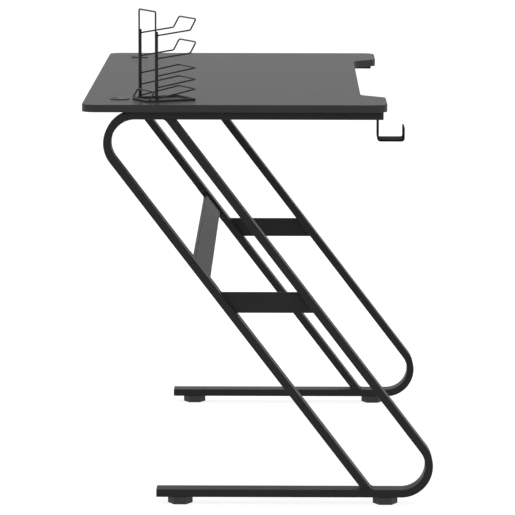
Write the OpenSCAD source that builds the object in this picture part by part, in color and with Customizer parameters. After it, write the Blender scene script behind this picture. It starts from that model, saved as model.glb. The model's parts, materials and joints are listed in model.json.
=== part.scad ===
/* [Tabletop] */
// Width of the tabletop, side to side
top_w = 1100; // [1000:10:1300]
// Depth of the tabletop, back edge to wing tips
top_d = 562; // [540:1:600]
// Height of the tabletop's upper face above the floor
desk_h = 750; // [720:1:790]
// Thickness of the tabletop
top_t = 14; // [12:1:20]
// Thickness of the edging glued round the board
band_t = 1; // [0.5:0.5:2]
// Depth of the recess between the two front wings
recess_d = 46; // [30:1:60]
// Width of each front wing at its tip
wing_tip = 149; // [120:1:180]
// Width of each front wing where it meets the recess
wing_root = 193; // [185:1:230]
// Radius of the tabletop's four outer corners, seen from above
corner_r = 25; // [10:1:35]
// Radius of the wing tips' inner corners
tip_r = 25; // [10:1:30]
// Radius of the recess's inner corners
recess_r = 35; // [10:1:45]

/* [Leg frames] */
// Depth of a leg frame, from bend to bend
leg_d = 612; // [600:1:625]
// How far the lower bends reach in front of the tabletop
leg_reach = 89; // [75:1:100]
// Gap between the tabletop's side edge and the leg's outer face
leg_inset = 12; // [5:1:30]
// Width of the flat tube, across the desk
tube_w = 40; // [36:1:50]
// Thickness of the flat tube
tube_t = 14.5; // [14:0.5:18]
// Wall of the flat tube
tube_wall = 1.2; // [1:0.1:1.4]
// Corner radius of the flat tube's section
tube_r = 1.6; // [1.5:0.1:2.2]
// Radius of the tube bends, to the middle of the tube
bend_r = 51.75; // [48:0.25:56]
// How much the bending draws the tube's section in, all round
bend_draw = 0.03; // [0.02:0.01:0.06]
// Length of each rail, from the middle of its bend to its cut end
rail_len = 455; // [430:1:460]
// Distance between the two leaning struts, middle to middle
strut_pitch = 129.5; // [124:0.5:136]
// Radius of the weld where a strut meets a rail
weld_r = 8; // [5:1:10]
// How deep the weld's hollow face dips, as a multiple of that radius
weld_dip = 1.1; // [1.05:0.05:1.2]

/* [Ties and cross bar] */
// Height of the side tie, top to bottom
tie_h = 38; // [30:1:50]
// Thickness of the side tie
tie_t = 12; // [8:1:20]
// Height of the side tie's middle above the floor
tie_z = 379; // [340:1:420]
// Wall of the side tie and of the cross bar
bar_wall = 1.2; // [1:0.1:1.8]
// Width of the cross bar, along the strut
bar_w = 47; // [40:1:55]
// Thickness of the cross bar
bar_t = 9; // [8:0.5:12]
// Height of the cross bar's middle, on the struts' rear face
bar_z = 428; // [400:1:460]
// Length of the plate at each end of the cross bar
plate_len = 90; // [84:1:100]
// Thickness of the plate at each end of the cross bar
plate_t = 3; // [2:0.5:5]
// Distance between the two bolts of an end plate
bolt_pitch = 69; // [66:1:72]

/* [Feet] */
// Height of the foot pads, fully screwed in
foot_h = 14; // [12:1:20]
// Size of the foot pad across its corners
foot_d = 46.6; // [40:0.1:52]
// Size of the slanted edge round the foot pad's face on the floor
foot_edge = 0.8; // [0.5:0.1:2]
// Radius of the foot's threaded stud
stud_r = 4; // [3:0.5:5]
// Distance from the bottom rail's cut end to the rear foot
rear_foot = 42.5; // [36:0.5:60]
// Distance from the lower bend's middle back to the front foot
front_foot = 29.5; // [27:0.5:34]
// Height of the nut that holds the stud
foot_nut_h = 6.5; // [5:0.5:7]
// Size of the foot nut across its flats
foot_nut_af = 13; // [12:0.5:16]

/* [End caps] */
// Thickness of an end cap's visible flange
cap_t = 2; // [1:0.5:4]
// Depth of an end cap's plug inside the tube
cap_plug = 12; // [8:1:20]

/* [Cable grommets] */
// Radius of the grommet's flange on the tabletop
grommet_r = 19; // [18:0.5:20]
// Height of the grommet's flange above the tabletop
grommet_h = 2; // [1.5:0.5:3]
// Radius of the grommet's sleeve in the board
sleeve_r = 16; // [15.5:0.1:16.5]
// Wall of the grommet's sleeve below its ledge
sleeve_wall = 2.2; // [1.8:0.1:2.6]
// Radius of the grommet's rotating cap
cap_r = 15.2; // [14.8:0.1:15.3]
// Thickness of the rotating cap
cap_h = 2; // [1.6:0.2:2.4]
// Width of the cable notch in the cap
notch_w = 12; // [8:1:14]
// Distance from the tabletop's side edge to the grommet's middle
grommet_side = 107; // [100:1:130]
// Distance from the tabletop's back edge to the grommet's middle
grommet_back = 66; // [50:1:70]

/* [Headphone hook] */
// Width of the hook's steel strip
hook_w = 65; // [50:1:80]
// Thickness of the hook's steel strip
hook_t = 3; // [2:0.5:4]
// Clear space between the hook's strap and its lip
hook_space = 45; // [35:1:60]
// How far the hook hangs below the tabletop
hook_drop = 59; // [50:1:80]
// Height of the hook's front lip
hook_lip = 26; // [15:1:35]
// Inner radius of the hook's bends
hook_r = 3; // [1:0.5:5]
// Length of the hook's fixing flange
hook_flange = 32; // [26:1:50]
// Distance from the wing tip back to the hook's strap
hook_back = 14.6; // [10:0.2:30]
// Gap between the leg and the hook's edge
hook_side = 3; // [2:1:10]

/* [Wire rack] */
// Width of the rack, between the middles of its wires
rack_w = 75.5; // [70:0.5:80]
// Depth of the rack's base, between the middles of its wires
rack_d = 96; // [92:1:100]
// Height of the rack above the tabletop
rack_h = 168.5; // [160:0.5:180]
// Turn of the rack towards the user
rack_turn = 26; // [15:1:28]
// Place of the rack's middle, from the tabletop's side edge
rack_side = 98.5; // [96:0.5:120]
// Place of the rack's middle, from the tabletop's back edge
rack_back = 148.7; // [147:0.1:170]
// Thickness of the base wire
base_wire = 4; // [3.5:0.5:4.5]
// Thickness of the back frame's and the posts' wire
frame_wire = 3.25; // [2.5:0.25:3.5]
// Thickness of the wire of the hooks and shelves
loop_wire = 3; // [2:0.25:3.25]
// Distance from the base's rear wire to the back frame
frame_set = 14.5; // [14:0.5:16]
// Height of the posts in front of the back frame
post_h = 130; // [128:1:140]
// Height at which the upper hook leaves the posts
hook_z = 123; // [118:1:124]
// Distance down from the upper hook to the lower one
hook_step = 42.6; // [36:0.2:48]
// Slope of a hook's arms, in degrees
hook_slope = 6.8; // [2:0.2:10]
// Reach of a hook's arms before they turn up
hook_run = 70; // [55:1:72]
// Steepness of a hook's raised end, in degrees
hook_rise = 60; // [45:1:75]
// Length of a hook's raised end
hook_end = 23.4; // [18:0.2:26]
// Reach of the shelves, from the back frame
shelf_run = 81.5; // [70:0.5:84]
// Heights at which the three shelves leave the posts
shelf_zs = [48.3, 26.9, 6.5];
// Heights of the three shelves' front wires
shelf_tips = [60.7, 39.4, 21.2];
// Height of the brace behind the back frame
brace_h = 20.2; // [16:0.2:26]

/* [Screws] */
// Radius of the machine screws' shank
screw_r = 3; // [2.5:0.5:3.5]
// Radius of the screws' pan head in the rails
pan_r = 5.5; // [5:0.1:6]
// Height of the screws' pan head
pan_h = 3.6; // [2.5:0.1:4]
// Length of the screws' shank above the head
screw_len = 10; // [8:0.5:11]
// Distance between the screws along a rail
screw_pitch = 130; // [120:1:132]
// Distance from the tube's cut end to its first screw
screw_first = 28.5; // [25:0.5:40]
// Number of screws along a rail
screw_count = 4; // [3:1:4]
// Radius of the threaded inserts in the board
insert_r = 4.5; // [4:0.1:5]
// Depth of the threaded inserts in the board
insert_h = 10; // [8:0.5:11]
// Radius of the bolt heads on the legs' outer faces
bolt_head_r = 4.8; // [4.5:0.1:5.5]
// Height of the bolt heads on the legs' outer faces
bolt_head_h = 2.6; // [2:0.1:3.5]
// Size across the flats of the bolts' nuts
bolt_nut_af = 10; // [9:0.5:11]
// Height of the bolts' nuts
bolt_nut_h = 5; // [4:0.5:6]
// Radius of the hook's wood screws
wood_r = 2; // [1.5:0.25:2.5]
// Length of the hook's wood screws in the board
wood_len = 9; // [6:0.5:10]
// Radius of the wood screws' heads
wood_head_r = 4; // [3.5:0.1:4.5]
// Height of the wood screws' heads
wood_head_h = 2.2; // [1.5:0.1:3]

/* [Clearances] */
// Clearance round a screw in its drilled hole
drill_gap = 0.3; // [0.2:0.05:0.5]
// Clearance round a screw in its thread, which is left plain
thread_gap = 0.05; // [0.03:0.01:0.1]
// Clearance between pieces that are pushed together
push_gap = 0.1; // [0.05:0.05:0.3]
// Clearance round the grommet's rotating cap
turn_gap = 0.06; // [0.04:0.01:0.1]
// Gap under the rack and over the foot pads
seat_gap = 0.15; // [0.05:0.05:0.3]
// Gap between wires that a spot weld joins
spot_gap = 0.03; // [0.01:0.01:0.05]

/* [Hidden] */

steel_black = "#2b2b2b";
board_black = "#3f3f3f";
band_black = "#383838";
plastic_black = "#1f1f1f";
zinc = "#8f8f8c";

$fn = 48;
corner_steps = 10;
section_steps = 3;
over = 1;

// Places across the desk
side_x = top_w / 2;
leg_out = side_x - leg_inset;
leg_in = leg_out - tube_w;
leg_mid = leg_out - tube_w / 2;

// Places from back to front: the outline's middle is at zero
y_back = (top_d + leg_reach) / 2;
y_wing = y_back - top_d;
y_recess = y_wing + recess_d;
rail_top = desk_h - top_t;

// The two bends of a leg frame, as places from back to front and up
bend_out = bend_r + tube_t / 2;
bend_in = bend_r - tube_t / 2;
high_bend = [leg_d - y_back - bend_out, rail_top - bend_out];
low_bend = [bend_out - y_back, foot_h + bend_out];
span = high_bend - low_bend;
middle = (high_bend + low_bend) / 2;

// The struts leave their bends as tangents, at this angle to the floor
lean = atan2(span.y, span.x) + asin((strut_pitch - 2 * bend_r) / norm(span));
strut_rear = -(strut_pitch + tube_t) / 2;
strut_face = -(strut_pitch - tube_t) / 2;
strut_drop = span.y + bend_out - tube_t;
strut_len = strut_drop / sin(lean);
rail_end = high_bend.x - rail_len;
base_end = low_bend.x + rail_len;

// The bolts and screws
nut_r = foot_nut_af / sqrt(3);
bolt_nut_r = bolt_nut_af / sqrt(3);
socket_r = screw_r * 0.8;
wood_socket_r = wood_r * 0.7;
screw_ys = [for (i = [0 : screw_count - 1]) rail_end + screw_first + i * screw_pitch];
stud_low = foot_h / 3;
stud_high = foot_h + tube_t - 2 * tube_wall;
foot_ys = [low_bend.x + front_foot, base_end - rear_foot];

// The rack, in its own frame: x across, y to the back, z up from the tabletop
rack_x = rack_w / 2;
rack_rear = rack_d / 2;
frame_y = rack_rear - frame_set;
post_y = frame_y - frame_wire - spot_gap;
loop_y = post_y - frame_wire / 2 - spot_gap;
base_top = base_wire + spot_gap;
base_bend = base_wire * 1.5;
frame_bend = frame_wire * 1.5;
loop_bend = loop_wire * 1.6;

// A vector of length one along v
function unit(v) = v / norm(v);

// The neighbour of point i in a closed outline, k places on
function beside(p, i, k) = p[(i + k + len(p)) % len(p)];

// 1 where the outline turns left at point i, -1 where it turns right
function turn(p, i) = sign(cross(p[i] - beside(p, i, -1), beside(p, i, 1) - p[i]));

// Half the angle between the two edges at point i
function half_angle(p, i) =
    acos(unit(beside(p, i, -1) - p[i]) * unit(beside(p, i, 1) - p[i])) / 2;

// The direction that halves the corner at point i
function halving(p, i) =
    unit(unit(beside(p, i, -1) - p[i]) + unit(beside(p, i, 1) - p[i]));

// A left-turning outline moved inwards by t, and its corner radii to match
function inset(p, t) = [for (i = [0 : len(p) - 1])
    p[i] + halving(p, i) * turn(p, i) * t / sin(half_angle(p, i))];
function inset_radii(p, r, t) = [for (i = [0 : len(p) - 1]) r[i] - t * turn(p, i)];

// An outline with each corner rounded to its own radius, as arcs of so many steps
function rounded(p, r, steps) = [for (i = [0 : len(p) - 1])
    let (half = half_angle(p, i),
        mid = p[i] + halving(p, i) * r[i] / sin(half),
        foot = p[i] + unit(beside(p, i, -1) - p[i]) * r[i] / tan(half) - mid,
        start = atan2(foot.y, foot.x),
        sweep = (180 - 2 * half) * turn(p, i))
    for (k = [0 : steps])
        mid + r[i] * [cos(start + sweep * k / steps), sin(start + sweep * k / steps)]];

// Corners of a rectangle about the middle, turning left
function box_corners(w, h) = [[-w, -h], [w, -h], [w, h], [-w, h]] / 2;

// Where a line along the struts, set forward of the frame's middle by e, crosses height z
function strut_y(z, e) = middle.x + (z - middle.y) / tan(lean) - e / sin(lean);

// The tabletop seen from above, from its back left corner round to the left wing
top_corners = [
    [-side_x, y_back], [-side_x, y_wing], [wing_tip - side_x, y_wing],
    [wing_root - side_x, y_recess], [side_x - wing_root, y_recess],
    [side_x - wing_tip, y_wing], [side_x, y_wing], [side_x, y_back]];
top_radii = [corner_r, corner_r, tip_r, recess_r, recess_r, tip_r, corner_r, corner_r];

// The tabletop's outline, moved inwards by t
module top_outline(t) {
    polygon(rounded(inset(top_corners, t), inset_radii(top_corners, top_radii, t), corner_steps));
}

// Draws its children on the left side and mirrored on the right
module both_sides() {
    children();
    mirror([1, 0, 0]) children();
}

// Draws its children on the left or, mirrored, on the right
module on_side(side) {
    if (side < 0) children();
    else mirror([1, 0, 0]) children();
}

// Stands a profile, drawn back and up, on edge and gives it a thickness across the desk
module across(x, t) {
    translate([x, 0, 0])
        rotate([90, 0, 90])
            linear_extrude(t)
                children();
}

// The board, with its grommet holes and the blind bores for its inserts and screws
module tabletop() {
    color(board_black)
        difference() {
            translate([0, 0, rail_top])
                linear_extrude(top_t)
                    top_outline(band_t);
            both_sides() {
                grommet_place()
                    translate([0, 0, -top_t - over])
                        cylinder(r = sleeve_r + push_gap, h = top_t + 2 * over);
                rail_screw_places()
                    translate([0, 0, -over])
                        cylinder(r = insert_r + push_gap, h = insert_h + push_gap + over);
            }
            hook_screw_places()
                translate([0, 0, -over])
                    cylinder(r = wood_r + push_gap, h = wood_len + push_gap + over);
        }
}

// The edging all round the board
module edge_band() {
    color(band_black)
        translate([0, 0, rail_top])
            linear_extrude(top_t)
                difference() {
                    top_outline(0);
                    top_outline(band_t);
                }
}

// The flat tube's section, or the space inside it when t is its wall
module tube_section(t) {
    w = tube_w - 2 * t;
    h = tube_t - 2 * t;
    r = tube_r - t;
    polygon(rounded(box_corners(w, h), [r, r, r, r], section_steps));
}

// The bent tube about its bend's middle: a rail forward along the top, the bend,
// and a strut down and forward. extra lengthens the rail's cut end
module tube_sweep(t, extra) {
    lap = 180 * over / (PI * bend_r);
    rotate([0, -90, 0]) {
        translate([bend_r, 0, 0])
            rotate([90, 0, 0])
                linear_extrude(rail_len + extra)
                    rotate(90)
                        tube_section(t);
        rotate(-lap)
            rotate_extrude(angle = 180 - lean + 2 * lap)
                translate([bend_r, 0])
                    rotate(90)
                        tube_section(t + bend_draw);
        rotate(180 - lean)
            translate([bend_r, 0, 0])
                rotate([-90, 0, 0])
                    linear_extrude(strut_len)
                        rotate(90)
                            tube_section(t);
    }
}

// The weld bead in the open corner between a strut's foot and the rail it stands
// on, sunk a little into the strut and run past the rail's face
module foot_weld() {
    corner = [bend_in / sin(lean) - strut_drop / tan(lean), -strut_drop];
    tangent = weld_r * tan(lean / 2);
    forward = corner - [tangent, 0];
    upward = corner + tangent * [cos(lean), sin(lean)];
    hollow = forward + [0, weld_r];
    sunk = tube_wall / 2;
    width = tube_w - 2 * tube_r;
    difference() {
        across(-width / 2, width)
            polygon([forward - [0, over], forward, upward, upward + [sunk, 0],
                corner + [sunk, -over]]);
        translate([-width / 2 - over, hollow.x, hollow.y])
            rotate([0, 90, 0])
                cylinder(r = weld_r * weld_dip, h = width + 2 * over);
    }
}

// One bent tube of a leg frame, hollow, with its strut cut level to stand on the other rail
module z_tube() {
    difference() {
        union() {
            tube_sweep(0, 0);
            foot_weld();
        }
        tube_sweep(tube_wall, over);
        translate([-tube_w, -2 * strut_len, -strut_drop - 2 * tube_w])
            cube([2 * tube_w, 3 * strut_len, 2 * tube_w]);
    }
}

// The tube whose rail carries the tabletop, on one side of the desk
module rear_tube(side) {
    color(steel_black)
        on_side(side)
            difference() {
                translate([-leg_mid, high_bend.x, high_bend.y])
                    z_tube();
                rail_screw_places() {
                    translate([0, 0, -tube_t / 2])
                        cylinder(r = screw_r + drill_gap, h = tube_t);
                    translate([0, 0, -tube_t - over])
                        cylinder(r = pan_r + 2 * drill_gap, h = tube_t / 2 + over);
                }
                bar_bolt_places()
                    translate([0, 0, -over])
                        cylinder(r = screw_r + drill_gap, h = tube_w + 2 * over);
            }
}

// The tube whose rail stands on the feet, on one side of the desk
module front_tube(side) {
    color(steel_black)
        on_side(side)
            difference() {
                translate([-leg_mid, low_bend.x, low_bend.y])
                    rotate([180, 0, 0])
                        z_tube();
                for (y = foot_ys)
                    foot_place(y)
                        translate([0, 0, -over])
                            cylinder(r = stud_r + drill_gap, h = tube_t / 2 + over);
            }
}

// The hollow tie between a leg's two struts, cut to their slope
module tie(side) {
    color(steel_black)
        on_side(side)
            difference() {
                across(-leg_mid - tie_t / 2, tie_t)
                    tie_profile(tie_h, 0);
                across(-leg_mid - tie_t / 2 + bar_wall, tie_t - 2 * bar_wall)
                    tie_profile(tie_h - 2 * bar_wall, over);
            }
}

// A slice of height h between the struts' facing sides, run on into them by extra
module tie_profile(h, extra) {
    low = tie_z - h / 2;
    high = tie_z + h / 2;
    rear = strut_face - extra;
    polygon([[strut_y(low, rear), low], [strut_y(high, rear), high],
        [strut_y(high, -rear), high], [strut_y(low, -rear), low]]);
}

// The frame of the cross bar: x across, y up along the strut, z into it from its rear face
module bar_place() {
    translate([0, strut_y(bar_z, strut_rear), bar_z])
        rotate([lean, 0, 0])
            children();
}

// The flat cross bar between the two legs' rear struts
module cross_bar() {
    length = 2 * (leg_in - plate_t);
    color(steel_black)
        bar_place()
            translate([-length / 2, -bar_w / 2, 0])
                difference() {
                    cube([length, bar_w, bar_t]);
                    translate([-over, bar_wall, bar_wall])
                        cube([length + 2 * over, bar_w - 2 * bar_wall, bar_t - 2 * bar_wall]);
                }
}

// The two bolts of the left leg, along x from the leg's outer face
module bar_bolt_places() {
    for (end = [-1, 1])
        bar_place()
            translate([-leg_out, end * bolt_pitch / 2, tube_t / 2])
                rotate([0, 90, 0])
                    children();
}

// The plate that closes the cross bar and bolts to the strut's inner face
module bar_plate(side) {
    color(steel_black)
        on_side(side)
            difference() {
                bar_place()
                    translate([-leg_in, 0, 0])
                        rotate([90, 0, 90])
                            linear_extrude(plate_t)
                                translate([0, tube_t / 2])
                                    polygon(rounded(box_corners(plate_len, tube_t),
                                        [tube_r, tube_r, tube_r, tube_r], section_steps));
                bar_bolt_places()
                    translate([0, 0, tube_w - over])
                        cylinder(r = screw_r + thread_gap, h = plate_t + 2 * over);
            }
}

// The four button-head bolts through the legs, with six-sided sockets
module bar_bolts() {
    length = tube_w + plate_t + bolt_nut_h + screw_r / 2;
    dome = (pow(bolt_head_r, 2) + pow(bolt_head_h, 2)) / (2 * bolt_head_h);
    color(steel_black)
        both_sides()
            bar_bolt_places() {
                difference() {
                    intersection() {
                        translate([0, 0, dome - bolt_head_h])
                            sphere(r = dome);
                        translate([0, 0, -bolt_head_h])
                            cylinder(r = bolt_head_r, h = bolt_head_h);
                    }
                    translate([0, 0, -bolt_head_h - over])
                        cylinder(r = socket_r, h = bolt_head_h * 0.7 + over, $fn = 6);
                }
                cylinder(r = screw_r, h = length);
            }
}

// The four weld nuts behind the cross bar's end plates
module bar_nuts() {
    color(zinc)
        both_sides()
            bar_bolt_places()
                translate([0, 0, tube_w + plate_t])
                    difference() {
                        cylinder(r = bolt_nut_r, h = bolt_nut_h, $fn = 6);
                        translate([0, 0, -over])
                            cylinder(r = screw_r + thread_gap, h = bolt_nut_h + 2 * over);
                    }
}

// A plastic cap for a tube's cut end: its flange outside, its hollow plug inside
module end_cap() {
    plug_w = tube_w - 2 * (tube_wall + push_gap);
    plug_h = tube_t - 2 * (tube_wall + push_gap);
    plug_r = tube_r - tube_wall;
    plug_radii = [plug_r, plug_r, plug_r, plug_r];
    rotate([90, 0, 0]) {
        linear_extrude(cap_t)
            tube_section(0);
        translate([0, 0, -cap_plug])
            linear_extrude(cap_plug)
                difference() {
                    polygon(rounded(box_corners(plug_w, plug_h), plug_radii, section_steps));
                    square([plug_w - 2 * tube_r, plug_h - 2 * tube_r], center = true);
                }
    }
}

// The cap at the front of a top rail
module rail_cap(side) {
    color(plastic_black)
        on_side(side)
            translate([-leg_mid, rail_end, rail_top - tube_t / 2])
                end_cap();
}

// The cap at the back of a bottom rail
module base_cap(side) {
    color(plastic_black)
        on_side(side)
            translate([-leg_mid, base_end, foot_h + tube_t / 2])
                mirror([0, 1, 0])
                    end_cap();
}

// A point under the left bottom rail, on its lower face
module foot_place(y) {
    translate([-leg_mid, y, foot_h])
        children();
}

// A six-sided foot pad with a slanted lower edge and a blind bore for its stud
module foot(side, y) {
    color(plastic_black)
        on_side(side)
            translate([-leg_mid, y, 0])
                rotate(90)
                    difference() {
                        union() {
                            cylinder(d1 = foot_d - 2 * foot_edge, d2 = foot_d, h = foot_edge, $fn = 6);
                            translate([0, 0, foot_edge])
                                cylinder(d = foot_d, h = foot_h - foot_edge - seat_gap, $fn = 6);
                        }
                        translate([0, 0, stud_low])
                            cylinder(r = stud_r + thread_gap, h = foot_h);
                    }
}

// The foot's stud, which climbs through the rail's lower wall into the nut
module stud(side, y) {
    bevel = stud_r / 4;
    color(zinc)
        on_side(side)
            translate([-leg_mid, y, stud_low]) {
                cylinder(r = stud_r, h = stud_high - stud_low - bevel);
                translate([0, 0, stud_high - stud_low - bevel])
                    cylinder(r1 = stud_r, r2 = stud_r - bevel, h = bevel);
            }
}

// The four nuts welded inside the bottom rails
module foot_nuts() {
    color(zinc)
        both_sides()
            for (y = foot_ys)
                foot_place(y)
                    translate([0, 0, tube_wall])
                        difference() {
                            cylinder(r = nut_r, h = foot_nut_h, $fn = 6);
                            translate([0, 0, -over])
                                cylinder(r = stud_r + thread_gap, h = foot_nut_h + 2 * over);
                        }
}

// The places on the left rail's upper face where screws enter the board
module rail_screw_places() {
    for (y = screw_ys)
        translate([-leg_mid, y, rail_top])
            children();
}

// The screws that hold the tabletop, their heads inside the rails
module rail_screws() {
    color(zinc)
        both_sides()
            rail_screw_places()
                translate([0, 0, -tube_wall]) {
                    difference() {
                        translate([0, 0, -pan_h])
                            cylinder(r = pan_r, h = pan_h);
                        translate([0, 0, -pan_h - over])
                            cylinder(r = socket_r, h = pan_h / 2 + over, $fn = 6);
                    }
                    cylinder(r = screw_r, h = screw_len);
                }
}

// The threaded inserts in the board
module board_inserts() {
    color(zinc)
        both_sides()
            rail_screw_places()
                difference() {
                    cylinder(r = insert_r, h = insert_h);
                    translate([0, 0, -over])
                        cylinder(r = screw_r + thread_gap, h = insert_h + 2 * over);
                }
}

// The hook, one steel strip bent four times, under the left wing beside the leg
module headphone_hook() {
    rear = y_wing + hook_back + hook_t;
    front = rear - hook_t;
    lip_in = front - hook_space;
    lip_out = lip_in - hook_t;
    floor = rail_top - hook_drop;
    outer = hook_r + hook_t;
    end = hook_t / 4;
    corners = [
        [rear + hook_flange, rail_top], [front, rail_top],
        [front, floor + hook_t], [lip_in, floor + hook_t],
        [lip_in, floor + hook_lip], [lip_out, floor + hook_lip],
        [lip_out, floor], [rear, floor],
        [rear, rail_top - hook_t], [rear + hook_flange, rail_top - hook_t]];
    radii = [end, outer, hook_r, hook_r, end, end, outer, outer, hook_r, end];
    color(steel_black)
        difference() {
            across(-leg_in + hook_side, hook_w)
                polygon(rounded(corners, radii, corner_steps));
            hook_screw_places()
                translate([0, 0, -hook_t - over])
                    cylinder(r = wood_r + drill_gap, h = hook_t + 2 * over);
        }
}

// The two screws through the hook's flange
module hook_screw_places() {
    for (end = [-1, 1])
        translate([-leg_in + hook_side + hook_w / 2 + end * hook_w / 4,
                y_wing + hook_back + hook_t + hook_flange * 0.6, rail_top])
            children();
}

// The wood screws that hold the hook
module hook_screws() {
    color(zinc)
        hook_screw_places()
            translate([0, 0, -hook_t]) {
                difference() {
                    translate([0, 0, -wood_head_h])
                        cylinder(r = wood_head_r, h = wood_head_h);
                    translate([0, 0, -wood_head_h - over])
                        cylinder(r = wood_socket_r, h = wood_head_h / 2 + over, $fn = 6);
                }
                cylinder(r = wood_r, h = hook_t + wood_len - wood_r);
                translate([0, 0, hook_t + wood_len - wood_r])
                    cylinder(r1 = wood_r, r2 = wood_r / 4, h = wood_r);
            }
}

// The left grommet's middle, on the tabletop's upper face
module grommet_place() {
    translate([grommet_side - side_x, y_back - grommet_back, desk_h])
        children();
}

// The grommet: a flange on the board and a sleeve with a ledge for the cap
module grommet(side) {
    bore = sleeve_r - sleeve_wall;
    seat = cap_r + turn_gap;
    ledge = grommet_h - cap_h;
    round_over = grommet_h / 2;
    color(plastic_black)
        on_side(side)
            grommet_place()
                rotate_extrude()
                    polygon([[bore, -top_t], [sleeve_r, -top_t], [sleeve_r, 0],
                        [grommet_r, 0], [grommet_r, round_over],
                        [grommet_r - round_over, grommet_h], [seat, grommet_h],
                        [seat, ledge], [bore, ledge]]);
}

// The grommet's rotating cap, with a short skirt and a notch for cables
module grommet_cap(side) {
    skirt_out = sleeve_r - sleeve_wall - turn_gap;
    skirt_in = skirt_out - sleeve_wall / 2;
    skirt_h = top_t / 3;
    notch_y = cap_r - notch_w * 0.6;
    color(plastic_black)
        on_side(side)
            grommet_place()
                translate([0, 0, grommet_h - cap_h])
                    difference() {
                        union() {
                            translate([0, 0, turn_gap])
                                cylinder(r = cap_r, h = cap_h - turn_gap);
                            translate([0, 0, -skirt_h])
                                difference() {
                                    cylinder(r = skirt_out, h = skirt_h + turn_gap);
                                    translate([0, 0, -over])
                                        cylinder(r = skirt_in, h = skirt_h + over);
                                }
                        }
                        translate([0, notch_y, -skirt_h - over]) {
                            cylinder(d = notch_w, h = skirt_h + cap_h + 2 * over);
                            translate([-notch_w / 2, 0, 0])
                                cube([notch_w, cap_r, skirt_h + cap_h + 2 * over]);
                        }
                    }
}

// A round wire, bent as it is fed. Each step is a length to feed, the angle of the
// bend that follows, and the roll about the wire that sets where the bend points
module bent_wire(steps, d, r, i = 0) {
    cylinder(d = d, h = steps[i][0]);
    if (i < len(steps) - 1)
        translate([0, 0, steps[i][0]])
            rotate(steps[i][2])
                translate([r, 0, 0]) {
                    rotate([90, 0, 180])
                        rotate_extrude(angle = steps[i][1])
                            translate([r, 0])
                                circle(d = d);
                    rotate([0, steps[i][1], 0])
                        translate([-r, 0, 0])
                            bent_wire(steps, d, r, i + 1);
                }
}

// Starts a wire on the rack's left side at a, a place back and up, and heads
// forward with the given rise in degrees
module heading(a, rise) {
    translate([-rack_x, a.x, a.y])
        rotate([90 - rise, 0, 0])
            children();
}

// A wire that runs from a to b on the left, across, and back again on the right
module looped_wire(a, b, d, r) {
    side = norm(b - a) - r;
    heading(a, atan2(b.y - a.y, a.x - b.x))
        bent_wire([[side, 90, 0], [rack_w - 2 * r, 90, 0], [side]], d, r);
}

// The rack's own frame on the tabletop
module rack_place() {
    color(steel_black)
        translate([rack_side - side_x, y_back - rack_back, desk_h + seat_gap])
            rotate(rack_turn)
                children();
}

// The base: a closed rectangle of thick wire that lies on the tabletop
module rack_base() {
    half = rack_x - base_bend;
    side = rack_d - 2 * base_bend;
    rack_place()
        translate([0, rack_rear, base_wire / 2])
            rotate([0, 90, 0])
                bent_wire([[half, 90, -90], [side, 90, 0], [2 * half, 90, 0], [side, 90, 0],
                    [half]], base_wire, base_bend);
}

// The back frame: a tall arch that stands on the base's side wires
module rack_back_frame() {
    rack_place()
        looped_wire([frame_y, base_top], [frame_y, rack_h - frame_wire / 2],
            frame_wire, frame_bend);
}

// A post in front of the back frame, which carries the hooks and shelves
module rack_post(side) {
    rack_place()
        translate([side * rack_x, post_y, base_top])
            cylinder(d = frame_wire, h = post_h - base_top);
}

// The brace: a low arch from the base's rear corners, leaning on the back frame
module rack_brace() {
    foot = [rack_rear - base_bend / 2, base_top + loop_wire / 4];
    touch = frame_y + (frame_wire + loop_wire) / 2 + spot_gap;
    rack_place()
        looped_wire(foot, [touch, brace_h - loop_wire / 2], loop_wire, loop_bend);
}

// A hook: two rising arms that turn up at the front and are joined across
module rack_hook(z) {
    turn_up = hook_rise - hook_slope;
    arm = (hook_run - frame_y + loop_y) / cos(hook_slope) - loop_bend * tan(turn_up / 2);
    raised = hook_end - loop_bend * (1 + tan(turn_up / 2));
    rack_place()
        heading([loop_y, z], hook_slope)
            bent_wire([[arm, turn_up, 90], [raised, 90, -90], [rack_w - 2 * loop_bend, 90, 0],
                [raised, turn_up, 90], [arm]], loop_wire, loop_bend);
}

// A shelf: a long loop that rises from the posts to its front wire
module rack_shelf(i) {
    rack_place()
        looped_wire([loop_y, shelf_zs[i]], [frame_y - shelf_run, shelf_tips[i]],
            loop_wire, loop_bend);
}

tabletop();
edge_band();
rear_tube(-1);  // left_rear_tube
front_tube(-1);  // left_front_tube
rear_tube(1);  // right_rear_tube
front_tube(1);  // right_front_tube
tie(-1);  // left_tie
tie(1);  // right_tie
cross_bar();
bar_plate(-1);  // left_bar_plate
bar_plate(1);  // right_bar_plate
bar_bolts();
bar_nuts();
rail_cap(-1);  // left_rail_cap
rail_cap(1);  // right_rail_cap
base_cap(-1);  // left_base_cap
base_cap(1);  // right_base_cap
foot(-1, foot_ys[0]);  // front_left_foot
foot(1, foot_ys[0]);  // front_right_foot
foot(-1, foot_ys[1]);  // rear_left_foot
foot(1, foot_ys[1]);  // rear_right_foot
stud(-1, foot_ys[0]);  // front_left_stud
stud(1, foot_ys[0]);  // front_right_stud
stud(-1, foot_ys[1]);  // rear_left_stud
stud(1, foot_ys[1]);  // rear_right_stud
foot_nuts();
rail_screws();
board_inserts();
headphone_hook();
hook_screws();
grommet(-1);  // left_grommet
grommet(1);  // right_grommet
grommet_cap(-1);  // left_grommet_cap
grommet_cap(1);  // right_grommet_cap
rack_back_frame();
rack_post(-1);  // rack_left_post
rack_post(1);  // rack_right_post
rack_base();
rack_brace();
rack_hook(hook_z);  // rack_upper_hook
rack_hook(hook_z - hook_step);  // rack_lower_hook
rack_shelf(0);  // rack_top_shelf
rack_shelf(1);  // rack_middle_shelf
rack_shelf(2);  // rack_bottom_shelf
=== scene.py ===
import json
import math

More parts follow.
